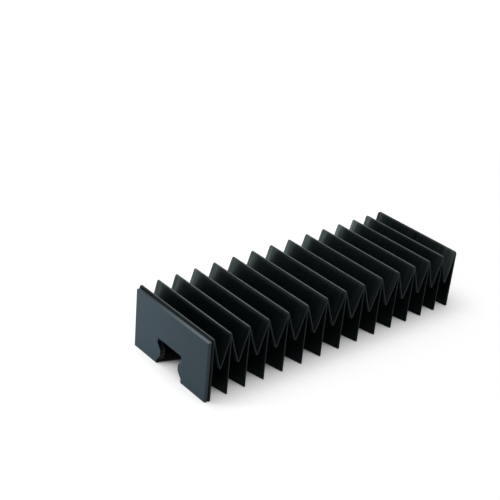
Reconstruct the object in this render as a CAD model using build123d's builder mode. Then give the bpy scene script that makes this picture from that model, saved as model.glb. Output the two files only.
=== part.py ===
from build123d import *
import os
from math import hypot, sqrt

# Three-sided bellows way cover for a profiled guide rail, in millimetres.
# X runs along the rail, from the front end plate to the rear one. Z is up, away from the rail.
# The origin is at the middle of the length and width, at the feet.

# The folded skin, one sheet of coated fabric over the top and both sides
bellows_width = 66.0  # across the outer folds
bellows_height = 38.0  # feet to outer folds
pleat_count = 14
mid_pitch = 14.5  # one pleat in the middle of the length
end_crowding = 0.21  # share of mid_pitch by which the first and last pleats stand closer
fold_depth = 19.0  # outer fold to inner fold, over the top and at the sides
outer_fold_width = 0.8  # flat back of an outer fold
corner_chamfer = 1.0  # where an outer fold turns from the top to a side
side_fold_place = 0.62  # a side's inner fold in its pleat: 0 is the front outer fold, 1 the rear one
side_fold_radius = 1.6  # round back of a side's inner fold
skin_thickness = 0.35
hem_lift = 0.4  # free edge of the fabric above the feet

# The rail passage, cut through every plate and frame: the rail's section and a running gap
rail_width = 20.0
rail_waist = 14.0
rail_gap = 1.0  # on each side
mouth_height = 2.2  # straight sides at the feet
waist_start = 6.4
waist_end = 9.8
head_height = 13.6  # the passage is widest here, above the waist
passage_height = 16.5
passage_top_width = 20.6

# The end plates, bonded on the skin's end panels
plate_thickness = 2.0
front_top_inset = 1.5  # below the outer folds
front_side_inset = 0.7
rear_top_inset = 2.4  # the rear plate lies behind the last fold
rear_side_inset = 2.4
plate_corner_radius = 0.8
plate_edge_radius = 0.3

# The stiffeners: one thin frame inside each outer fold, and a clamp frame behind each end plate
frame_thickness = 0.7
frame_corner_radius = 1.0
clamp_thickness = 0.7
glue_line = 0.1  # between an end plate, the fabric and a clamp frame
fold_gap = 0.1  # between a frame's rim and the fabric around it


def pleat_pitch(index):
    """Length of one pleat: the rest pose is looser in the middle than at the ends."""
    place = (2 * index - (pleat_count - 1)) / (pleat_count - 1)
    return mid_pitch * (1 - end_crowding * place**2)


pitches = [pleat_pitch(index) for index in range(pleat_count)]
folded_length = sum(pitches)
fold_x = [sum(pitches[:index]) - folded_length / 2 for index in range(pleat_count + 1)]
half_width = bellows_width / 2

# Offsets from the plane of the first or last outer fold, outwards
panel_inner = clamp_thickness / 2 + glue_line
panel_outer = panel_inner + skin_thickness
plate_inner = panel_outer + glue_line


def frame_tuck(place):
    """Depth of a frame's rim under its outer fold, where the inner folds stand at place."""
    run = min(pitches) * min(place, 1 - place) - outer_fold_width / 2
    slant = hypot(run, fold_depth) / fold_depth
    spread = frame_thickness / 2 + fold_gap + skin_thickness * slant - outer_fold_width / 2
    return max(skin_thickness + fold_gap, spread * fold_depth / run)


top_tuck = frame_tuck(0.5)
side_tuck = frame_tuck(side_fold_place)
clamp_tuck = skin_thickness + glue_line


def chamfer_inside(inset):
    """The top corners' chamfer on an outline that lies evenly inside the outer folds."""
    return corner_chamfer - (2 - sqrt(2)) * inset


def fold_points(outer, place):
    """The outer face of the folds from end to end, as points (x, distance)."""
    half = outer_fold_width / 2
    points = [(fold_x[0] - panel_outer, outer)]
    for index, pitch in enumerate(pitches):
        front = panel_outer if index == 0 else half
        rear = panel_outer if index == pleat_count - 1 else half
        points.append((fold_x[index] + front, outer))
        points.append((fold_x[index] + place * pitch, outer - fold_depth))
        points.append((fold_x[index + 1] - rear, outer))
    points.append((fold_x[-1] + panel_outer, outer))
    return points


def top_section(inset=0.0):
    """The space under the top folds, seen from the side."""
    points = fold_points(bellows_height, 0.5)
    below = -fold_depth
    with BuildSketch(Plane.XZ) as section:
        with BuildLine():
            Polyline(*points, (points[-1][0], below), (points[0][0], below), close=True)
        make_face()
        if inset:
            offset(amount=-inset, kind=Kind.INTERSECTION)
    return section.sketch


def side_section(inset=0.0):
    """The space between the side folds, seen from above."""
    points = fold_points(half_width, side_fold_place)
    with BuildSketch(Plane.XY) as section:
        with BuildLine():
            Polyline(*points, (points[-1][0], 0), (points[0][0], 0), close=True)
        make_face()
        fillet(section.vertices().group_by(Axis.Y)[1], side_fold_radius)
        mirror(about=Plane.XZ)
        if inset:
            offset(amount=-inset, kind=Kind.INTERSECTION)
    return section.sketch


def bridge_section(x=0.0, inset=0.0, floor=0.0):
    """The outer folds' outline across the rail, with chamfered top corners, standing on floor."""
    with BuildSketch(Plane.YZ.offset(x)) as section:
        with Locations((0, floor)):
            width = bellows_width - 2 * inset
            height = bellows_height - inset - floor
            Rectangle(width, height, align=(Align.CENTER, Align.MIN))
        chamfer(section.vertices().group_by(Axis.Y)[-1], chamfer_inside(inset))
    return section.sketch


def rail_passage(x=0.0):
    """The opening for the rail: mouth, waist, head and flat top, from below the feet up."""
    head = rail_width / 2 + rail_gap
    waist = rail_waist / 2 + rail_gap
    right = [
        (head, -rail_gap),
        (head, mouth_height),
        (waist, waist_start),
        (waist, waist_end),
        (head, head_height),
        (passage_top_width / 2, passage_height),
    ]
    left = [(-across, height) for across, height in reversed(right)]
    with BuildSketch(Plane.YZ.offset(x)) as section:
        with BuildLine():
            Polyline(*right, *left, close=True)
        make_face()
    return section.sketch


def folded_space(inset, floor):
    """What the skin closes in on its three sides, inset by part of the fabric."""
    with BuildPart() as space:
        extrude(top_section(inset), amount=half_width, both=True)
        extrude(side_section(inset), amount=bellows_height, both=True, mode=Mode.INTERSECT)
        outline = bridge_section(inset=inset, floor=floor)
        extrude(outline, amount=folded_length, both=True, mode=Mode.INTERSECT)
    return space.part


os.makedirs("parts", exist_ok=True)

with BuildPart() as bellows_skin:
    # The sheet over the top: its folds run the full width and hang over the tucked sides
    extrude(top_section() - top_section(skin_thickness), amount=half_width, both=True)
    full_outline = bridge_section(floor=hem_lift)
    extrude(full_outline, amount=folded_length, both=True, mode=Mode.INTERSECT)
    # The sides and the flat end panels, open towards the rail
    add(folded_space(0.0, hem_lift))
    add(folded_space(skin_thickness, -skin_thickness), mode=Mode.SUBTRACT)
    extrude(rail_passage(), amount=folded_length, both=True, mode=Mode.SUBTRACT)

bellows_skin.part.label = "bellows_skin"
export_step(bellows_skin.part, "parts/bellows_skin.step")

# The end plates: flat metal, bonded to the outside of the skin's end panels
for name, side, top_inset, side_inset in (
    ("front_end_plate", -1, front_top_inset, front_side_inset),
    ("rear_end_plate", 1, rear_top_inset, rear_side_inset),
):
    inner_x = side * (fold_x[-1] + plate_inner)
    with BuildPart() as end_plate:
        with BuildSketch(Plane.YZ.offset(inner_x)) as plate_outline:
            width = bellows_width - 2 * side_inset
            height = bellows_height - top_inset
            Rectangle(width, height, align=(Align.CENTER, Align.MIN))
            fillet(plate_outline.vertices().group_by(Axis.Y)[-1], plate_corner_radius)
        extrude(amount=side * plate_thickness)
        extrude(rail_passage(inner_x), amount=2 * plate_thickness, both=True, mode=Mode.SUBTRACT)
        outer_face = end_plate.faces().sort_by(Axis.X)[-1 if side > 0 else 0]
        fillet(outer_face.edges(), plate_edge_radius)
    end_plate.part.label = name
    export_step(end_plate.part, f"parts/{name}.step")

# The clamp frames: the same outline as the folds around them, bonded inside the end panels
for name, x in (("front_clamp_frame", fold_x[0]), ("rear_clamp_frame", fold_x[-1])):
    with BuildPart() as clamp_frame:
        extrude(bridge_section(x, clamp_tuck), amount=clamp_thickness / 2, both=True)
        extrude(rail_passage(x), amount=clamp_thickness, both=True, mode=Mode.SUBTRACT)
    clamp_frame.part.label = name
    export_step(clamp_frame.part, f"parts/{name}.step")

# The fold frames: loose-fitting stiffeners, one in each outer fold between the ends
for number, x in enumerate(fold_x[1:-1], start=1):
    with BuildPart() as fold_frame:
        with BuildSketch(Plane.YZ.offset(x)) as frame_outline:
            width = bellows_width - 2 * side_tuck
            height = bellows_height - top_tuck
            Rectangle(width, height, align=(Align.CENTER, Align.MIN))
            fillet(frame_outline.vertices().group_by(Axis.Y)[-1], frame_corner_radius)
        extrude(amount=frame_thickness / 2, both=True)
        extrude(rail_passage(x), amount=frame_thickness, both=True, mode=Mode.SUBTRACT)
    fold_frame.part.label = f"fold_frame_{number:02d}"
    export_step(fold_frame.part, f"parts/fold_frame_{number:02d}.step")
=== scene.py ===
from math import cos, inf, pi, radians, sin, sqrt

import bpy
import numpy as np
from mathutils import Matrix, Vector

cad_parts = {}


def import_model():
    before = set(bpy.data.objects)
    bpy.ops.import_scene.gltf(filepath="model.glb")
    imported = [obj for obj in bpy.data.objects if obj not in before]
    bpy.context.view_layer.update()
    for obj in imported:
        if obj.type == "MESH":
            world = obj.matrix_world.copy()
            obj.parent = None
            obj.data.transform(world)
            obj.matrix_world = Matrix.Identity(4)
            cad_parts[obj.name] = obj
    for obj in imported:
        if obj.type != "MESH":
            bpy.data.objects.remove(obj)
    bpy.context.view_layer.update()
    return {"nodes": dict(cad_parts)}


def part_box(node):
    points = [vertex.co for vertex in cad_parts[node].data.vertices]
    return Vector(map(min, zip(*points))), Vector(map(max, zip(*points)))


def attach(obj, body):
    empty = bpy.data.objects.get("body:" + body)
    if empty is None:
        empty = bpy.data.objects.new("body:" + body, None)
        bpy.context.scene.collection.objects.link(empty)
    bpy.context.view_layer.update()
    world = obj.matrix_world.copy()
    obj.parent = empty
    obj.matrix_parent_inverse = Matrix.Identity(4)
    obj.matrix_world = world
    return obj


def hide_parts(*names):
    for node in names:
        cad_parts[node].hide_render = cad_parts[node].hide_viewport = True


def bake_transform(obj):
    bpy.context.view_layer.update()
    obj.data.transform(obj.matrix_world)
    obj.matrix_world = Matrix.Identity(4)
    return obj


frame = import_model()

# Lengths are millimetres unless a name or a comment says otherwise; MM turns them into Blender's metres
MM = 0.001

# The folded fabric. Its middle surface runs half a thickness inside the outer faces.
THICKNESS = 0.35
HALF = THICKNESS / 2
FOLD_DEPTH = 19.0
CREST_RADIUS = 0.275
VALLEY_RADIUS = 0.2
SIDE_VALLEY_RADIUS = 1.4
CORNER_RADIUS = 1.2
END_FLAT = 0.3
HEM = 0.4

# From these angles on, edges are shaded sharp
SHARP_CLOTH = radians(50)
SHARP_SOLID = radians(30)
SHORTEST_NORMAL = 1e-9

# The fabric's finishes, by their places among a piece's materials
OUTSIDE, CUT, INSIDE = range(3)

# Where the inner folds lie on the top and on the sides, as shares of the pleat
TOP_FOLD_PLACE = 0.5
SIDE_FOLD_PLACE = 0.62

# A leaf's lean from the vertical is found by halving, from upright to nearly flat
FLATTEST_LEAN = pi / 2 - 0.01
LEAN_HALVINGS = 60

# The tucked corners: the second layer below a leaf, and how the corner is pinched near an outer fold
LAYER_GAP = 0.39
TUCK_LENGTH = 3.0
PINCH_REACH = 1.0
EDGE_PINCH = 0.15
MITRE_PINCH = 0.5
MITRE_DROP = 0.05
ARC_MIDDLE = sqrt(0.5)

# The soft bends of a section: their reach, what an open corner adds, and the most of a stretch they take
EDGE_BEND = 0.2
MITRE_BEND = 0.3
OPEN_BEND = 0.35
BEND_SHARE = 0.45
BEND_STEPS = 4

# Columns of points in each part of half a section, from the centre line out and down to the hem
TOP_COLUMNS = 16
EDGE_COLUMNS = 2 * BEND_STEPS + 1
GUSSET_COLUMNS = 7
SIDE_COLUMNS = 12
PARTS = np.repeat(
    ["top", "edge", "gusset", "mitre", "side"],
    [1 + TOP_COLUMNS, EDGE_COLUMNS, GUSSET_COLUMNS, BEND_STEPS, SIDE_COLUMNS],
)

# Rows of points along a pleat: shares of each bend's turn, depths in the corner tuck, and even rows below it
TOP_TURNS = np.array([0, 0.05, 0.2, 0.4, 0.6, 0.8, 1.0])
SIDE_TURNS = np.array([0, 0.25, 0.5, 0.75, 1.0])
TUCK_DEPTHS = np.array([0.3, 0.6, 0.9, 1.2, 1.5, 1.8, 2.2, 2.7, 3.3, 4.0])
BODY_DEPTH = 4.8
BODY_END = 0.15
BODY_ROWS = 9
CLOSEST_ROWS = 0.006

# The hems are bowed between the folds, and the leaves' ends curl
HEM_BOW = 0.7
HEM_BOW_HEIGHT = 12.0
HEM_BOW_FALL = 1.5
END_CURL = 0.2
END_CURL_REACH = 8.0

# The cloth's slow waves: each one's size, and the lengths across and upwards over which it turns by a radian
WAVES = [(0.55, 19.0, inf), (0.45, 8.5, 13.0), (0.4, -15.0, 6.5)]
WAVE_SIZE = 0.22
WAVE_FALL = 1.5
WAVE_SEED = 14

# The pale creases: how far from an outer fold they are full, how far they fade, and their strength by part,
# which is partly wear and partly painted highlight: full on the top ridges, faint on the shaded sides
CREASE_FULL = 0.25
CREASE_FADE = 0.45
STEEPEST_SLOPE = 3.0
EDGE_CREASE_START = 0.95
EDGE_CREASE_END = 0.4
TUCK_CREASE = 0.13
TUCK_CREASE_RISE = 4
GUSSET_CREASE = 0.3
MITRE_CREASE = 0.2
SIDE_CREASE = 0.14
FIRST_SIDE_CREASE = 0.35
REAR_CREASE = 0.3

# The leaves' ends are stressed by the tucks and painted with a highlight, most on the cover's left, where
# the light comes from
STRESS_SHEEN_START = 21.0
STRESS_SHEEN_END = 35.0
STRESS_SHEEN_RISE = 1.6
FIRST_STRESS_SHEEN = 0.75
REAR_STRESS_SHEEN = 1.7
LAST_LEAF_STRESS_SHEEN = 0.45
RIGHT_STRESS_SHEEN = 0.1
LAST_RIGHT_STRESS_SHEEN = 1.05
FRONT_LEAF_STRESS_SHEEN = 0.5

# The leaves grow paler towards the rear, and the last leaf, which nothing covers, has a painted sheen
# towards its top and its right end
FIRST_PALING = 0.005
REAR_PALING = 0.045
LAST_LEAF_SHEEN = 0.13
RIGHT_SHEEN = 1.2
RIGHT_SHEEN_START = 10.0
RIGHT_SHEEN_END = 22.0

# The rail passage: half widths and heights of its corners, from a foot up to its flat top
HEAD_HALF = 11.0
WAIST_HALF = 8.0
PASSAGE_TOP_HALF = 10.3
MOUTH_HEIGHT = 2.2
WAIST_START = 6.4
WAIST_END = 9.8
HEAD_HEIGHT = 13.6
PASSAGE_TOP = 16.5
PASSAGE = [
    (HEAD_HALF, 0.0),
    (HEAD_HALF, MOUTH_HEIGHT),
    (WAIST_HALF, WAIST_START),
    (WAIST_HALF, WAIST_END),
    (HEAD_HALF, HEAD_HEIGHT),
    (PASSAGE_TOP_HALF, PASSAGE_TOP),
]

# The end panels: how far rows lie from the outer fold and how pale they are, then a bend and the flat panel
PANEL_CREASES = [(0.0, 1.0), (0.12, 0.5), (0.25, 0.05)]
PANEL_BEND = 0.3
PANEL_BEND_STEPS = 4
PANEL_STEPS = 6
PANEL_SIDE_STRIP = 0.3
# The panel's crease is full on top as painted highlight, and faint at the shaded sides
PANEL_TOP_CREASE = 0.95
PANEL_SIDE_CREASE = 0.05

# What the frame says: the fabric's outer faces, and the planes and bodies of the frames in its outer folds
skin_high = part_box("bellows_skin")[1]
TOP = skin_high.z / MM - HALF
SIDE = skin_high.y / MM - HALF

frame_names = [name for name in sorted(frame["nodes"]) if name.startswith("fold_frame_")]
plane_nodes = ["front_clamp_frame", *frame_names, "rear_clamp_frame"]
fold_x = [(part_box(name)[0].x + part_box(name)[1].x) / 2 / MM for name in plane_nodes]
PLEATS = len(fold_x) - 1
# The end panels' middle surface, from the plane of the first or last outer fold
panel_x = (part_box("front_clamp_frame")[0].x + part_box("front_end_plate")[1].x) / 2 / MM
END_PANEL = fold_x[0] - panel_x


def smooth(t):
    """0 below 0, 1 above 1, and a soft step between."""
    t = np.clip(t, 0, 1)
    return t * t * (3 - 2 * t)


class Leaf:
    """One leaf of a fold: depth below the outer fold, by distance from it along the cover."""

    def __init__(self, run, crest, valley, flat):
        self.run, self.crest, self.valley, self.flat = run, crest, valley, flat
        bends = crest + valley
        low, high = 0.0, FLATTEST_LEAN
        for _ in range(LEAN_HALVINGS):
            lean = (low + high) / 2
            straight = (FOLD_DEPTH - bends * (1 - sin(lean))) / cos(lean)
            if flat + bends * cos(lean) + straight * sin(lean) > run:
                high = lean
            else:
                low = lean
        self.lean = lean
        self.crest_end = flat + crest * cos(lean)
        self.valley_start = run - valley * cos(lean)

    def into_bends(self, x):
        """How far each x is from the crest and from the valley, and no further than their bends reach."""
        near = np.clip(x - self.flat, 0, self.crest * cos(self.lean))
        far = np.clip(self.run - x, 0, self.valley * cos(self.lean))
        return near, far

    def chosen(self, x, crest, straight, valley):
        """The value for the part of the leaf that each x lies in."""
        return np.where(x < self.crest_end, crest, np.where(x > self.valley_start, valley, straight))

    def depth(self, x):
        x = np.clip(x, 0, self.run)
        near, far = self.into_bends(x)
        crest = self.crest - np.sqrt(self.crest**2 - near**2)
        straight = self.crest * (1 - sin(self.lean)) + (x - self.crest_end) / np.tan(self.lean)
        valley = FOLD_DEPTH - self.valley + np.sqrt(self.valley**2 - far**2)
        return self.chosen(x, crest, straight, valley)

    def slope(self, x):
        x = np.clip(x, 0, self.run)
        near, far = self.into_bends(x)
        crest = near / np.sqrt(self.crest**2 - near**2)
        valley = far / np.sqrt(self.valley**2 - far**2)
        return self.chosen(x, crest, 1 / np.tan(self.lean), valley)


class Fold:
    """One pleat's two leaves, from outer fold to outer fold."""

    def __init__(self, pitch, place, valley, flat_front, flat_rear):
        self.pitch, self.place = pitch, place * pitch
        self.front = Leaf(self.place, CREST_RADIUS, valley, flat_front)
        self.rear = Leaf(pitch - self.place, CREST_RADIUS, valley, flat_rear)

    def leaves(self):
        """Each leaf, with the place of its outer fold and the way it runs from there."""
        return (self.front, 0.0, 1), (self.rear, self.pitch, -1)

    def depth(self, x):
        return np.where(x < self.place, self.front.depth(x), self.rear.depth(self.pitch - x))

    def slope(self, x):
        return np.where(x < self.place, self.front.slope(x), -self.rear.slope(self.pitch - x))


def between(a, b, count):
    """Points from a to b, rows kept, without the first."""
    t = np.linspace(0, 1, count + 1)[1:]
    return a[:, None] + (b - a)[:, None] * t[None, :, None]


def bend(before, corner, after, reach):
    """A soft bend at a corner of a path, with its two ends."""
    back, ahead = before - corner, after - corner
    length_back = np.linalg.norm(back, axis=1, keepdims=True)
    length_ahead = np.linalg.norm(ahead, axis=1, keepdims=True)
    trim = np.minimum(reach, BEND_SHARE * np.minimum(length_back, length_ahead))
    start = corner + back / length_back * trim
    end = corner + ahead / length_ahead * trim
    t = np.linspace(0, 1, BEND_STEPS + 1)[None, :, None]
    return (1 - t) ** 2 * start[:, None] + 2 * t * (1 - t) * corner[:, None] + t**2 * end[:, None]


def pleat_rows(fold, side):
    """Distances along a pleat, close together at its folds."""
    rows = []
    for leaf, origin, way in fold.leaves():
        angles = (pi / 2 - leaf.lean) * TOP_TURNS
        crest = leaf.flat + leaf.crest * np.sin(angles)
        flat = [0.0, leaf.flat / 2] if leaf.flat else []
        valley = leaf.run - leaf.valley * np.sin(angles)
        per_depth = np.tan(leaf.lean)
        tuck = leaf.crest_end + per_depth * TUCK_DEPTHS
        body = np.linspace(leaf.crest_end + per_depth * BODY_DEPTH, leaf.valley_start - BODY_END, BODY_ROWS)
        rows += [origin + way * value for value in (*flat, *crest, *tuck, *body, *valley)]
    for leaf, origin, way in side.leaves():
        angles = (pi / 2 - leaf.lean) * SIDE_TURNS
        rows += [origin + way * value for value in leaf.run - leaf.valley * np.sin(angles)]
    rows = np.sort(np.clip(np.array(rows), 0, fold.pitch))
    kept = [rows[0]]
    for value in rows[1:]:
        if value - kept[-1] > CLOSEST_ROWS:
            kept.append(value)
    kept[-1] = fold.pitch
    return np.array(kept)


def corner_arc(depth):
    """How far the rounded corner of an outer fold draws the fabric's edge in, at a depth."""
    rise = CORNER_RADIUS - np.clip(depth, 0, CORNER_RADIUS)
    return CORNER_RADIUS - np.sqrt(np.maximum(0, CORNER_RADIUS**2 - rise**2))


def half_sections(fold, side, x):
    """The fabric's middle surface from the centre line out and down to one hem, a row for each x.

    It comes with how far each row's corner is tucked under, from 0 to 1.
    """
    depth, slope = fold.depth(x), fold.slope(x)
    top_z = TOP - depth
    edge = SIDE - corner_arc(depth)
    tucked = smooth((edge - (SIDE - side.depth(x))) / TUCK_LENGTH)

    # The second layer lies below the leaf, square to it
    length = np.sqrt(1 + slope**2)
    lift = LAYER_GAP * tucked
    under_x = x - slope / length * lift
    under_z = top_z - 1 / length * lift
    side_y = SIDE - side.depth(under_x)

    # Near an outer fold the corner is open, and its edge goes round to the side wall
    outward = np.maximum(0, side_y - edge)
    pinch = (1 - tucked) * (1 - smooth(outward / PINCH_REACH))
    round_out, round_down = ARC_MIDDLE * outward, (1 - ARC_MIDDLE) * outward

    centre = np.stack([x, 0 * x, top_z], 1)
    top_edge = np.stack([x, edge, top_z], 1)
    fold_back = np.stack([under_x, edge + round_out, under_z - round_down - EDGE_PINCH * pinch], 1)
    mitre = np.stack([under_x, side_y, under_z - outward - MITRE_PINCH * pinch - MITRE_DROP], 1)
    hem = np.stack([under_x, side_y, 0 * x + HEM], 1)
    soft = OPEN_BEND * outward[:, None]
    first = bend(centre, top_edge, fold_back, EDGE_BEND + soft)
    second = bend(top_edge, fold_back, mitre, EDGE_BEND + soft)
    third = bend(fold_back, mitre, hem, MITRE_BEND + soft)
    sections = [
        centre[:, None],
        between(centre, first[:, 0], TOP_COLUMNS),
        first[:, 1:],
        second,
        between(second[:, -1], third[:, 0], GUSSET_COLUMNS),
        third[:, 1:],
        between(third[:, -1], hem, SIDE_COLUMNS),
    ]
    return np.concatenate(sections, 1), tucked


def crest_share(distance):
    """How much of a fold's pale crease a point has, by distance from the fold's ridge."""
    return 1 - smooth((distance - CREASE_FULL) / CREASE_FADE)


def end_stress_and_sheen(y):
    """How much a leaf's end is stressed by its tuck and painted with a highlight, by distance from the
    cover's middle.
    """
    return smooth((abs(y) - STRESS_SHEEN_START) / (STRESS_SHEEN_END - STRESS_SHEEN_START)) ** STRESS_SHEEN_RISE


def crumple(points, share, phases):
    """How far the cloth's unevenness moves each point along the cover: nothing at the outer folds."""
    y, z = points[..., 1], points[..., 2]
    wave = 0
    for (size, across, upwards), phase in zip(WAVES, phases):
        wave = wave + size * np.sin(y / across + z / upwards + phase)
    drawn = np.clip((abs(y) - SIDE + END_CURL_REACH) / END_CURL_REACH, 0, 1) ** 2
    curl = -END_CURL * drawn * np.sin(2 * pi * share)[:, None]
    return WAVE_SIZE * wave * np.sin(pi * share)[:, None] ** WAVE_FALL + curl


def both_halves(right, left):
    """All columns from the right hem to the left one, from two halves that start at the centre line."""
    return np.concatenate([right[:, :0:-1], left], 1)


def grid_normals(points):
    """Unit normals of a grid of points."""
    along = np.gradient(points, axis=0)
    across = np.gradient(points, axis=1)
    normal = np.cross(along, across)
    length = np.linalg.norm(normal, axis=2, keepdims=True)
    return normal / np.maximum(length, SHORTEST_NORMAL)


def outward_normals(points):
    """Unit normals of a grid of points, away from the cover's inside."""
    normals = grid_normals(points)
    if normals[0, points.shape[1] // 2, 2] < 0:
        normals = -normals
    return normals


# Materials


def fill(tree, socket, value):
    """Give an input its value, or link it where the value is a socket."""
    if isinstance(value, bpy.types.NodeSocket):
        tree.links.new(value, socket)
    else:
        socket.default_value = value


def settle(tree, made, **settings):
    """Set a node's properties by name, and fill its inputs."""
    for key, value in settings.items():
        if hasattr(made, key):
            setattr(made, key, value)
        else:
            fill(tree, made.inputs[key.replace("_", " ")], value)


def node(tree, kind, **settings):
    """A node, with its properties and inputs set by name."""
    made = tree.nodes.new(kind)
    settle(tree, made, **settings)
    return made


def material(name):
    """A new node material, with its tree and its surface shader."""
    new = bpy.data.materials.new(name)
    new.use_nodes = True
    return new, new.node_tree, new.node_tree.nodes["Principled BSDF"]


def math_node(tree, operation, *values):
    """The sum, product or other result of values or sockets."""
    made = tree.nodes.new("ShaderNodeMath")
    made.operation = operation
    for socket, value in zip(made.inputs, values):
        fill(tree, socket, value)
    return made.outputs[0]


def product(tree, first, *others):
    """Values or sockets multiplied together."""
    for other in others:
        first = math_node(tree, "MULTIPLY", first, other)
    return first


def scaled(tree, value, gain, base):
    """A value times its gain, on top of a base."""
    return math_node(tree, "MULTIPLY_ADD", value, gain, base)


def clamped(socket):
    """A math node's result, kept from 0 to 1."""
    socket.node.use_clamp = True
    return socket


def mix_colour(tree, share, first, second):
    """Two colours mixed by a share."""
    made = node(tree, "ShaderNodeMix", data_type="RGBA", Factor=share, A=first, B=second)
    return made.outputs["Result"]


def step_node(tree, value, start, end):
    """0 where a value is at start, 1 where it is at end, and a soft step between."""
    made = node(tree, "ShaderNodeMapRange", interpolation_type="SMOOTHSTEP")
    settle(tree, made, Value=value, From_Min=start, From_Max=end)
    return made.outputs["Result"]


def place_step(tree, place, start, end):
    """A soft step between two places along an axis, in millimetres."""
    return step_node(tree, place, start * MM, end * MM)


def object_place(tree):
    """The place of a point on its object, in metres."""
    return node(tree, "ShaderNodeTexCoord").outputs["Object"]


def axes(tree, vector):
    """A vector's X, Y and Z."""
    return node(tree, "ShaderNodeSeparateXYZ", Vector=vector).outputs


def facing(tree, axis):
    """How far a surface faces along an axis, from -1 to 1."""
    return axes(tree, node(tree, "ShaderNodeNewGeometry").outputs["Normal"])[axis]


def attribute(tree, name, output):
    """A value that the mesh holds at each of its points."""
    return node(tree, "ShaderNodeAttribute", attribute_name=name).outputs[output]


def noise(tree, place, scale, detail, roughness):
    """Cloudy noise from 0 to 1; scale is in blotches to a unit of the place."""
    made = node(tree, "ShaderNodeTexNoise", Vector=place, Scale=scale, Detail=detail, Roughness=roughness)
    return made.outputs["Fac"]


def stretched(tree, place, scale):
    """A place scaled along each axis, which draws a noise out where the scale is small."""
    return node(tree, "ShaderNodeMapping", Vector=place, Scale=scale).outputs["Vector"]


def bump(tree, height, strength, depth):
    """Surface normals for a height from 0 to 1; depth is in metres."""
    made = node(tree, "ShaderNodeBump", Height=height, Strength=strength, Distance=depth)
    return made.outputs["Normal"]


def coated_fabric():
    """Black coated cloth: fine weave, soft patches of dust, pale worn creases with a painted highlight on
    the ridges, and pale streaks of stress and painted highlight at the leaves' ends.
    """
    coat, dusty_coat = (0.0010, 0.0023, 0.0026, 1), (0.0022, 0.0040, 0.0044, 1)
    stressed_sheen_coat, worn_and_sheen_coat = (0.130, 0.165, 0.160, 1), (0.150, 0.168, 0.170, 1)
    down_leaf = (1.0, 0.07, 1.0)
    yarn_pitch = 0.5
    weave_share = 0.5

    new, tree, surface = material("skin_coated_fabric")
    place = object_place(tree)
    cloth = attribute(tree, "cloth", "Vector")
    patches = noise(tree, place, scale=90.0, detail=3.0, roughness=0.55)
    wear = noise(tree, place, scale=900.0, detail=2.0, roughness=0.6)
    colour = mix_colour(tree, patches, coat, dusty_coat)

    # The leaves' ends are stressed by the tucks, in streaks that run down the leaf, and the streaks carry a
    # painted highlight
    streaks = noise(tree, stretched(tree, cloth, down_leaf), scale=0.5, detail=3.0, roughness=0.65)
    in_streak = step_node(tree, streaks, start=0.1, end=0.9)
    stress_sheen_share = product(tree, attribute(tree, "stress_and_sheen", "Fac"), in_streak)
    colour = mix_colour(tree, stress_sheen_share, colour, stressed_sheen_coat)

    # The creases are worn unevenly; their pale colour is partly wear and partly a painted highlight on the
    # ridges
    worn = scaled(tree, wear, gain=0.6, base=0.55)
    worn = product(tree, worn, step_node(tree, patches, start=-0.35, end=0.75))
    creased = clamped(product(tree, attribute(tree, "crease", "Fac"), worn))
    colour = mix_colour(tree, creased, colour, worn_and_sheen_coat)

    # The weave shows through the coat
    across, along, _ = axes(tree, cloth)
    warp = math_node(tree, "SINE", product(tree, across, 2 * pi / yarn_pitch))
    weft = math_node(tree, "SINE", product(tree, along, 2 * pi / yarn_pitch))
    height = math_node(tree, "ADD", product(tree, warp, weft, weave_share), wear)
    settle(
        tree,
        surface,
        Base_Color=colour,
        Roughness=scaled(tree, patches, gain=0.12, base=0.36),
        IOR=1.16,
        Specular_Tint=(0.7, 1.0, 1.0, 1),
        Normal=bump(tree, height, strength=0.25, depth=0.00003),
    )
    return new


def cut_edge():
    """The fabric's cut edge: grey yarn ends between two black coats."""
    coat, yarn = (0.010, 0.011, 0.011, 1), (0.060, 0.064, 0.064, 1)

    new, tree, surface = material("skin_cut_edge")
    yarns = noise(tree, object_place(tree), scale=2200.0, detail=2.0, roughness=0.6)
    settle(
        tree,
        surface,
        Base_Color=mix_colour(tree, step_node(tree, yarns, start=0.35, end=0.6), coat, yarn),
        Roughness=0.85,
        Specular_IOR_Level=0.2,
        Normal=bump(tree, yarns, strength=0.4, depth=0.00005),
    )
    return new


def cloth_inside():
    """The fabric's uncoated inner side: dull black cloth with a plain weave."""
    shaded_yarn, lit_yarn = (0.0012, 0.0014, 0.0016, 1), (0.0030, 0.0034, 0.0036, 1)

    new, tree, surface = material("skin_inner_cloth")
    weave = noise(tree, attribute(tree, "cloth", "Vector"), scale=3.0, detail=3.0, roughness=0.6)
    settle(
        tree,
        surface,
        Base_Color=mix_colour(tree, weave, shaded_yarn, lit_yarn),
        Roughness=0.9,
        Specular_IOR_Level=0.0,
        Normal=bump(tree, weave, strength=0.3, depth=0.00005),
    )
    return new


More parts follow.
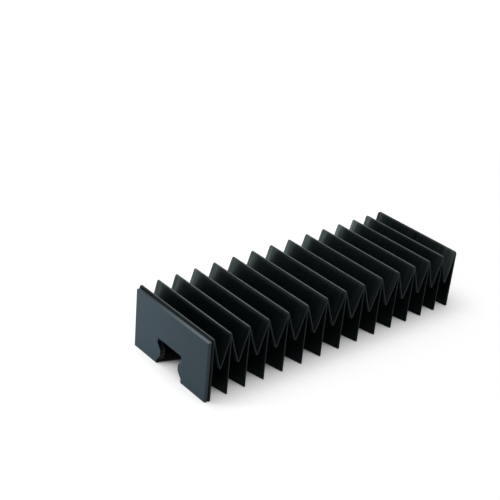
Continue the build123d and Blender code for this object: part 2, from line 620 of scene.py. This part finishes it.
def coated_plate():
    """Satin blue-grey coating on flat metal: faint cloudy tone and a fine orange-peel surface, with painted
    light: lighter towards the cover's left, paler sides, a highlight along the top edge, and painted shade
    on the underside and the passage's cut faces.
    """
    coat, lit_coat = (0.012, 0.028, 0.039, 1), (0.021, 0.040, 0.053, 1)
    grain_tone, painted_lighting = (0.10, 0.12, 0.13, 1), (0.006, 0.008, 0.010, 1)
    lit_side_edge = (0.034, 0.048, 0.062, 1)
    top_edge, top_edge_highlight = (0.045, 0.062, 0.072, 1), (0.140, 0.165, 0.185, 1)
    grain_share = 0.12
    # Where the painted light gradient and the painted top-edge highlight start and end across the plate, and
    # soft limits around the passage
    lit_from, lit_to = -34.0, 34.0
    highlight_from, highlight_to = 26.0, -30.0
    passage_side = (HEAD_HALF + 1.5, HEAD_HALF + 0.5)
    passage_top = (PASSAGE_TOP + 3.5, PASSAGE_TOP + 1.5)

    new, tree, surface = material("end_plate_coating")
    place = object_place(tree)
    _, y, z = axes(tree, place)
    clouds = noise(tree, place, scale=35.0, detail=3.0, roughness=0.5)
    grain = noise(tree, place, scale=2600.0, detail=2.0, roughness=0.6)
    # Painted light: the coat grows lighter towards the cover's left
    lit_gradient = scaled(tree, place_step(tree, y, lit_from, lit_to), gain=0.7, base=-0.38)
    colour = mix_colour(tree, math_node(tree, "ADD", clouds, lit_gradient), coat, lit_coat)
    colour = mix_colour(tree, product(tree, grain, grain_share), colour, grain_tone)

    # The sides are painted paler as if lit, and the top edge carries a painted highlight, most towards the
    # cover's right
    to_side = math_node(tree, "ABSOLUTE", facing(tree, "Y"))
    colour = mix_colour(tree, step_node(tree, to_side, start=0.35, end=0.8), colour, lit_side_edge)
    up = facing(tree, "Z")
    rim = mix_colour(tree, place_step(tree, y, highlight_from, highlight_to), top_edge, top_edge_highlight)
    colour = mix_colour(tree, step_node(tree, up, start=0.25, end=0.7), colour, rim)

    # The underside and the cut faces of the rail passage are painted near black as shade
    colour = mix_colour(tree, step_node(tree, up, start=-0.2, end=-0.7), colour, painted_lighting)
    in_width = place_step(tree, math_node(tree, "ABSOLUTE", y), *passage_side)
    in_height = place_step(tree, z, *passage_top)
    cut = step_node(tree, math_node(tree, "ABSOLUTE", facing(tree, "X")), start=0.9, end=0.5)
    colour = mix_colour(tree, product(tree, in_width, in_height, cut), colour, painted_lighting)
    settle(
        tree,
        surface,
        Base_Color=colour,
        Roughness=scaled(tree, clouds, gain=0.12, base=0.40),
        IOR=1.2,
        Normal=bump(tree, grain, strength=0.2, depth=0.00004),
    )
    return new


def sheet_plastic():
    """Black calendered plastic sheet for the stiffener frames: faint streaks and a dull grain."""
    dark, light = (0.0040, 0.0042, 0.0048, 1), (0.0085, 0.0090, 0.0100, 1)
    cut_tone = (0.022, 0.024, 0.025, 1)
    across_sheet = (1.0, 1.0, 12.0)

    new, tree, surface = material("stiffener_plastic")
    place = object_place(tree)
    streaks = noise(tree, stretched(tree, place, across_sheet), scale=120.0, detail=4.0, roughness=0.6)
    grain = noise(tree, place, scale=1800.0, detail=2.0, roughness=0.6)
    # The cut edges are stressed pale where the knife went through
    flat = math_node(tree, "ABSOLUTE", facing(tree, "X"))
    cut = product(tree, step_node(tree, flat, start=0.8, end=0.4), streaks)
    settle(
        tree,
        surface,
        Base_Color=mix_colour(tree, cut, mix_colour(tree, streaks, dark, light), cut_tone),
        Roughness=scaled(tree, streaks, gain=0.2, base=0.45),
        Specular_IOR_Level=0.4,
        Normal=bump(tree, grain, strength=0.2, depth=0.00003),
    )
    return new


# In the order OUTSIDE, CUT, INSIDE
fabric_finishes = [coated_fabric(), cut_edge(), cloth_inside()]
plate_coating = coated_plate()
frame_plastic = sheet_plastic()

for name, cad in frame["nodes"].items():
    if name == "bellows_skin":
        continue
    cad.data.materials.clear()
    cad.data.materials.append(plate_coating if name.endswith("end_plate") else frame_plastic)
    cad.data.polygons.foreach_set("use_smooth", [True] * len(cad.data.polygons))
    cad.data.set_sharp_from_angle(angle=SHARP_SOLID)


# The fabric, one piece to a pleat


def sheet_faces(rows, columns, hem_is_row):
    """Quads of a sheet's outer side, inner side and rim, and the finish of each."""
    index = np.arange(rows * columns).reshape(rows, columns)
    a, b = index[:-1, :-1].ravel(), index[1:, :-1].ravel()
    c, d = index[1:, 1:].ravel(), index[:-1, 1:].ravel()
    loop = np.concatenate([index[0], index[1:, -1], index[-1, -2::-1], index[-2:0:-1, 0]])
    after = np.roll(loop, -1)
    inner = rows * columns
    outer_side = np.stack([a, b, c, d], 1)
    inner_side = np.stack([a, d, c, b], 1) + inner
    rim = np.stack([loop, after, after + inner, loop + inner], 1)
    hem = index[-1] if hem_is_row else np.concatenate([index[:, 0], index[:, -1]])
    at_hem = np.isin(loop, hem) & np.isin(after, hem)
    finishes = [np.full(len(a), OUTSIDE), np.full(len(a), INSIDE), np.where(at_hem, CUT, OUTSIDE)]
    return np.concatenate([outer_side, inner_side, rim]), np.concatenate(finishes)


def flat_place(points, sheet_start):
    """Where each point lies on the flat cloth: across from its middle, and along from the cover's front."""
    middle = points.shape[1] // 2
    along = np.linalg.norm(np.diff(points, axis=0), axis=2)
    across = np.linalg.norm(np.diff(points, axis=1), axis=2)
    u = np.concatenate([np.zeros((len(points), 1)), np.cumsum(across, axis=1)], 1)
    u = u - u[:, [middle]]
    v = sheet_start + np.concatenate([[0], np.cumsum(along[:, middle])])
    return np.stack([u, v[:, None] + 0 * u, 0 * u], 2)


def add_attribute(mesh, name, kind, values):
    """Values at the grid's points, held by the points of both sides of its sheet."""
    made = mesh.attributes.new(name, kind, "POINT")
    field = "vector" if kind == "FLOAT_VECTOR" else "value"
    made.data.foreach_set(field, np.concatenate([values.ravel()] * 2).astype(np.float32))


def cloth_object(name, points, normals, creases, stress_and_sheen, hem_is_row, sheet_start=0.0):
    """A sheet of the fabric's thickness around a grid of points, as one closed mesh.

    hem_is_row says that the hem is the last row; otherwise it is both ends of every row. sheet_start is how
    far along the whole cover's fabric the first row lies.
    """
    outer = points + normals * HALF
    inner = points - normals * HALF
    vertices = np.concatenate([outer.reshape(-1, 3), inner.reshape(-1, 3)]) * MM
    faces, finishes = sheet_faces(*points.shape[:2], hem_is_row)
    if (grid_normals(points) * normals).sum() < 0:
        faces = faces[:, ::-1]
    mesh = bpy.data.meshes.new(name)
    mesh.from_pydata(vertices.tolist(), [], faces.tolist())
    mesh.polygons.foreach_set("use_smooth", [True] * len(mesh.polygons))
    mesh.polygons.foreach_set("material_index", finishes)
    mesh.set_sharp_from_angle(angle=SHARP_CLOTH)
    add_attribute(mesh, "cloth", "FLOAT_VECTOR", flat_place(points, sheet_start))
    add_attribute(mesh, "crease", "FLOAT", creases)
    add_attribute(mesh, "stress_and_sheen", "FLOAT", stress_and_sheen)
    for finish in fabric_finishes:
        mesh.materials.append(finish)
    mesh.validate()
    piece = bpy.data.objects.new(name, mesh)
    bpy.context.scene.collection.objects.link(piece)
    return piece


class Pleat:
    """One pleat of the fabric: its folds on the top and the sides, and half a section at each row."""

    def __init__(self, number):
        self.number = number
        self.pitch = fold_x[number + 1] - fold_x[number]
        self.flat_front = END_FLAT if number == 0 else 0.0
        self.flat_rear = END_FLAT if number == PLEATS - 1 else 0.0
        flats = (self.flat_front, self.flat_rear)
        self.top = Fold(self.pitch, TOP_FOLD_PLACE, VALLEY_RADIUS, *flats)
        self.side = Fold(self.pitch, SIDE_FOLD_PLACE, SIDE_VALLEY_RADIUS, *flats)
        self.leaf_length = FOLD_DEPTH / cos(self.top.front.lean)
        self.x = pleat_rows(self.top, self.side)
        self.share = self.x / self.pitch
        self.front_leaf = self.x < self.pitch / 2
        self.last_leaf = (number == PLEATS - 1) & (self.x > self.pitch / 2)
        self.half, self.tucked = half_sections(self.top, self.side, self.x)
        # The hem rises a little between the folds, so the fabric's edge is bowed
        bow = HEM_BOW * np.sin(pi * self.share) ** 2
        low_share = (1 - np.clip(self.half[..., 2] / HEM_BOW_HEIGHT, 0, 1)) ** HEM_BOW_FALL
        self.half[..., 2] += bow[:, None] * low_share * (PARTS == "side")

    def points(self, phases):
        """The middle surface of the whole pleat, uneven and in its place on the cover."""
        mirror = self.half * (1, -1, 1)
        points = both_halves(mirror, self.half)
        points[..., 0] += crumple(points, self.share, phases)
        points[..., 0] += fold_x[self.number]
        return points

    def ridge(self, fold):
        """How much of the outer folds' pale crease each row has on a fold."""
        to_front, to_rear = self.x - self.flat_front, self.pitch - self.flat_rear - self.x
        to_crest = np.maximum(0, np.where(self.front_leaf, to_front, to_rear))
        slope = np.minimum(fold.slope(self.x) ** 2, STEEPEST_SLOPE**2)
        fade = np.where(self.last_leaf, REAR_CREASE, 1.0)
        return (fade * crest_share(to_crest * np.sqrt(1 + slope)))[:, None]

    def creases(self):
        """How pale the fabric is worn at its folds and tucks, with a painted highlight that is full on the
        top ridges and faint on the shaded sides.
        """
        ridge, side_ridge = self.ridge(self.top), self.ridge(self.side)
        folded = TUCK_CREASE * smooth(self.tucked * TUCK_CREASE_RISE)[:, None]
        edge_fade = np.linspace(EDGE_CREASE_START, EDGE_CREASE_END, EDGE_COLUMNS)
        creases = np.zeros(self.half.shape[:2])
        creases[:, PARTS == "top"] = ridge
        creases[:, PARTS == "edge"] = np.maximum(folded, edge_fade * ridge)
        creases[:, PARTS == "gusset"] = GUSSET_CREASE * ridge
        creases[:, PARTS == "mitre"] = MITRE_CREASE * side_ridge
        creases[:, PARTS == "side"] = SIDE_CREASE * side_ridge
        if self.number == 0:
            creases[self.front_leaf] *= np.where(PARTS == "side", FIRST_SIDE_CREASE, 1)
        return both_halves(creases, creases)

    def stress_and_sheen(self):
        """How pale the streaks and painted highlight at the leaves' ends are, the paling on all of each
        leaf, and the last leaf's painted sheen.
        """
        y = self.half[..., 1]
        towards_rear = self.number / (PLEATS - 1)
        share = FIRST_STRESS_SHEEN + (REAR_STRESS_SHEEN - FIRST_STRESS_SHEEN) * towards_rear
        share = np.where(self.last_leaf, LAST_LEAF_STRESS_SHEEN, share)
        share = share * np.where(self.front_leaf, FRONT_LEAF_STRESS_SHEEN, 1.0)
        stress_and_sheen = end_stress_and_sheen(y) * (PARTS == "top")
        stress_and_sheen[:, PARTS == "edge"] = np.linspace(stress_and_sheen.max(), 0, EDGE_COLUMNS)
        stress_and_sheen *= share[:, None]
        right_share = np.where(self.last_leaf, LAST_RIGHT_STRESS_SHEEN, RIGHT_STRESS_SHEEN)[:, None]

        # How far up the leaf each row is; the last leaf's painted sheen grows towards the top
        painted_lighting = 1 - self.top.depth(self.x) / FOLD_DEPTH
        paling_and_sheen = FIRST_PALING + (REAR_PALING - FIRST_PALING) * towards_rear
        paling_and_sheen = np.where(self.last_leaf, LAST_LEAF_SHEEN * painted_lighting, paling_and_sheen)[:, None] * (PARTS == "top")
        to_right = smooth((y - RIGHT_SHEEN_START) / (RIGHT_SHEEN_END - RIGHT_SHEEN_START))
        right_paling_and_sheen = paling_and_sheen * (1 + RIGHT_SHEEN * to_right * self.last_leaf[:, None])
        return both_halves(right_share * stress_and_sheen + right_paling_and_sheen, stress_and_sheen + paling_and_sheen)


def skin_pleat(pleat, points, sheet_start):
    """The piece of one pleat, between its two frames."""
    number = pleat.number
    normals = outward_normals(points)
    for row in (0, -1):
        normals[row, :, 0] = 0
        normals[row] /= np.linalg.norm(normals[row], axis=1, keepdims=True)
    name = f"skin_pleat_{number + 1:02d}"
    piece = cloth_object(name, points, normals, pleat.creases(), pleat.stress_and_sheen(), False, sheet_start)
    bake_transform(piece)
    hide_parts("bellows_skin")


random = np.random.default_rng(WAVE_SEED)
end_rows = []
sheet_length = 0.0
for number in range(PLEATS):
    pleat = Pleat(number)
    points = pleat.points(random.uniform(0, 2 * pi, len(WAVES)))
    skin_pleat(pleat, points, sheet_length)
    end_rows += [points[0, :, 1:], points[-1, :, 1:]]
    sheet_length += 2 * pleat.leaf_length


# The ends of the fabric: the last outer fold turned down flat behind the end plate, and cut out for the rail


def resampled(path, count):
    """Points spread evenly along a path, with its corners kept."""
    path = np.array(path, float)
    steps = np.linalg.norm(np.diff(path, axis=0), axis=1)
    place = np.concatenate([[0], np.cumsum(steps)])
    wanted = np.linspace(0, place[-1], count)
    for corner in place[1:-1]:
        wanted[np.argmin(abs(wanted - corner))] = corner
    return np.stack([np.interp(wanted, place, path[:, k]) for k in range(2)], 1)


def panel_rows(outline, way):
    """Rows of points from the outer fold to the rail passage, and how many come before the flat panel."""
    count = len(outline)
    passage = [(y, max(z, HEM)) for y, z in PASSAGE]
    inner = resampled([(-y, z) for y, z in passage] + passage[::-1], count)
    inward = np.gradient(outline, axis=0)[:, ::-1] * (1, -1)
    inward /= np.linalg.norm(inward, axis=1, keepdims=True)

    def row(x, loop):
        return np.column_stack([np.full(count, way * x), loop])

    bend_start = END_PANEL - PANEL_BEND
    rows = [row(x, outline) for x, _ in PANEL_CREASES]
    rows.append(row(bend_start, outline))
    for angle in np.linspace(0, pi / 2, PANEL_BEND_STEPS + 1)[1:]:
        moved = outline + inward * PANEL_BEND * (1 - cos(angle))
        moved[[0, -1], 1] = HEM
        rows.append(row(bend_start + PANEL_BEND * sin(angle), moved))
    turned = len(rows)
    for share in np.linspace(0, 1, PANEL_STEPS + 1)[1:]:
        rows.append(row(END_PANEL, moved + (inner - moved) * share))
    return np.array(rows), turned


def end_piece(name, body, fold_plane, way, outline, wear):
    """One end's panel; way is -1 at the front and 1 at the rear, outline the pleat's row that it joins."""
    points, turned = panel_rows(outline, way)
    points[..., 0] += fold_plane
    normals = outward_normals(points)
    normals[: len(PANEL_CREASES), :, 0] = 0
    normals[turned:] = (way, 0, 0)
    normals /= np.linalg.norm(normals, axis=2, keepdims=True)
    weights = np.zeros(len(points))
    weights[: len(PANEL_CREASES)] = [strength for _, strength in PANEL_CREASES]
    at_side = abs(outline[:, 0]) > SIDE - PANEL_SIDE_STRIP
    around = np.where(at_side, PANEL_SIDE_CREASE, PANEL_TOP_CREASE)
    creases = wear * weights[:, None] * around[None, :]
    # The panel's outer fold gets the leaves' painted highlight, on the cover's left only
    stress_and_sheen = weights[:, None] * end_stress_and_sheen(outline[:, 0]) * (outline[:, 0] > 0)
    piece = cloth_object(name, points, normals, creases, stress_and_sheen, True)
    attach(piece, body)
    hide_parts("bellows_skin")


end_piece("skin_front_panel", "front_end", fold_x[0], -1, end_rows[0], 1.0)
end_piece("skin_rear_panel", "rear_end", fold_x[-1], 1, end_rows[-1], REAR_CREASE)


# Floor, light and camera

FLOOR_RADIUS = 3500.0
FLOOR_CORNERS = 96
# The surround's light, the floor's own lift, what it gains far from the cover, and how far things shelter it
SKY = 0.35
FLOOR_LIFT = 0.3
FAR_LIFT = 0.5
FAR_START = 250.0
FAR_END = 800.0
SHELTER = 60.0

# The floor between the cover's legs is painted dark as shade: its soft edges at the front, at both sides and
# at the rear
SHADE_FRONT = 2.0
SHADE_SIDE = (13.5, 12.5)
SHADE_REAR = (-52.0, -60.0)
# Light from the front reaches in as a wedge that narrows from leg to leg
WEDGE_SIDE = (10.5, 12.5)
WEDGE_SLOPE = 0.37
# Under the left side's first fold it is wider, first a little and then more, by places from the first frame
FOLD_START = (-7.8, -6.3)
FOLD_WIDTH = 3.0
POCKET_START = (-4.0, -2.0)
POCKET_WIDTH = 6.0
FOLD_END = (2.5, 1.0)
LEFT_START = (0.0, 2.0)

# The photo's camera, solved from the corners of the folds. Its place is in metres.
CAMERA_PLACE = (-0.375187, -0.367573, 0.317398)
CAMERA_RIGHT = (0.770257, -0.632141, 0.084269)
CAMERA_UP = (0.235287, 0.404505, 0.883751)
CAMERA_AHEAD = (0.592743, 0.660888, -0.460307)
SENSOR_WIDTH = 36.0
LENS = 74.10


def seen_directly(tree):
    """1 for a camera ray, a reflection or a view through glass, and 0 for the light on things."""
    path = node(tree, "ShaderNodeLightPath").outputs
    seen = math_node(tree, "ADD", path["Is Camera Ray"], path["Is Glossy Ray"])
    return clamped(math_node(tree, "ADD", seen, path["Is Transmission Ray"]))


def under_cover(tree):
    """1 on the floor between the cover's legs, where its plates and folds shut out the light; there the
    floor is painted dark as shade.
    """
    x, y, _ = axes(tree, object_place(tree))
    aside = math_node(tree, "ABSOLUTE", y)
    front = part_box("front_end_plate")[0].x / MM
    behind_front = place_step(tree, x, front, front + SHADE_FRONT)
    before_rear = place_step(tree, x, *SHADE_REAR)

    inward = product(tree, math_node(tree, "SUBTRACT", x, front * MM), WEDGE_SLOPE)
    past_wedge = place_step(tree, math_node(tree, "ADD", aside, inward), *WEDGE_SIDE)

    def from_first_frame(reach):
        start, end = reach
        return place_step(tree, x, fold_x[1] + start, fold_x[1] + end)

    fold_back = product(tree, from_first_frame(FOLD_START), FOLD_WIDTH * MM)
    pocket = product(tree, from_first_frame(POCKET_START), POCKET_WIDTH * MM)
    on_left = product(tree, from_first_frame(FOLD_END), place_step(tree, y, *LEFT_START))
    opened = product(tree, math_node(tree, "ADD", fold_back, pocket), on_left)
    in_width = place_step(tree, math_node(tree, "SUBTRACT", aside, opened), *SHADE_SIDE)
    return product(tree, past_wedge, behind_front, in_width, before_rear)


def pale_floor():
    """A nearly white floor, lifted where it is seen directly and open to the sky, and painted dark as shade
    under the cover and where little sky reaches it.
    """
    light, lighter, dark = (0.94, 0.94, 0.94, 1), (0.96, 0.96, 0.96, 1), (0.06, 0.06, 0.06, 1)

    new, tree, surface = material("pale_floor")
    place = object_place(tree)
    tone = mix_colour(tree, noise(tree, place, scale=3.0, detail=2.0, roughness=0.5), light, lighter)
    open_share = node(tree, "ShaderNodeAmbientOcclusion", samples=16, Distance=SHELTER * MM).outputs["AO"]
    open_to_sky = step_node(tree, open_share, start=0.04, end=0.3)
    shut_in = step_node(tree, open_share, start=0.15, end=0.03)
    # Where the floor is painted dark as shade, and gets no lift
    painted_shade = math_node(tree, "MAXIMUM", under_cover(tree), shut_in)
    outside_painted_shade = math_node(tree, "SUBTRACT", 1.0, painted_shade)
    distance = node(tree, "ShaderNodeVectorMath", operation="LENGTH", Vector=place).outputs["Value"]
    strength = scaled(tree, place_step(tree, distance, FAR_START, FAR_END), gain=FAR_LIFT, base=FLOOR_LIFT)
    settle(
        tree,
        surface,
        Base_Color=mix_colour(tree, painted_shade, tone, dark),
        Roughness=0.9,
        Specular_IOR_Level=0.1,
        Emission_Color=(1, 1, 1, 1),
        Emission_Strength=product(tree, outside_painted_shade, open_to_sky, strength, seen_directly(tree)),
    )
    return new


def floor():
    """A round floor that runs out of sight."""
    mesh = bpy.data.meshes.new("floor")
    radius = FLOOR_RADIUS * MM
    angles = np.linspace(0, 2 * pi, FLOOR_CORNERS + 1)[:-1]
    rim = [(radius * cos(angle), radius * sin(angle), 0.0) for angle in angles]
    mesh.from_pydata(rim, [], [list(range(len(rim)))])
    mesh.materials.append(pale_floor())
    made = bpy.data.objects.new("floor", mesh)
    bpy.context.scene.collection.objects.link(made)


def world():
    """A white surround, dimmer as light than it looks."""
    new = bpy.data.worlds.new("studio")
    bpy.context.scene.world = new
    new.use_nodes = True
    tree = new.node_tree
    strength = scaled(tree, seen_directly(tree), gain=1 - SKY, base=SKY)
    settle(tree, tree.nodes["Background"], Color=(1, 1, 1, 1), Strength=strength)


def softbox(name, place, target, size, power):
    """A rectangular lamp turned to its target; place, target and size are in metres, power in watts."""
    lamp = bpy.data.lights.new(name, "AREA")
    lamp.shape = "RECTANGLE"
    lamp.size, lamp.size_y = size
    lamp.energy = power
    made = bpy.data.objects.new(name, lamp)
    made.location = place
    made.rotation_euler = (Vector(target) - Vector(place)).to_track_quat("-Z", "Y").to_euler()
    bpy.context.scene.collection.objects.link(made)


def camera():
    """The photo's camera."""
    data = bpy.data.cameras.new("camera")
    data.sensor_width = SENSOR_WIDTH
    data.lens = LENS
    made = bpy.data.objects.new("camera", data)
    turn = Matrix((Vector(CAMERA_RIGHT), Vector(CAMERA_UP), -Vector(CAMERA_AHEAD))).transposed()
    made.matrix_world = Matrix.Translation(CAMERA_PLACE) @ turn.to_4x4()
    bpy.context.scene.collection.objects.link(made)
    bpy.context.scene.camera = made


floor()
world()
softbox("key", place=(-0.15, 0.15, 0.95), target=(0, 0, 0.02), size=(0.7, 0.7), power=5.0)
softbox("low", place=(-0.38, 0.21, 0.06), target=(-0.06, 0, 0.02), size=(0.09, 0.08), power=0.72)
camera()
bpy.context.scene.view_settings.view_transform = "Standard"
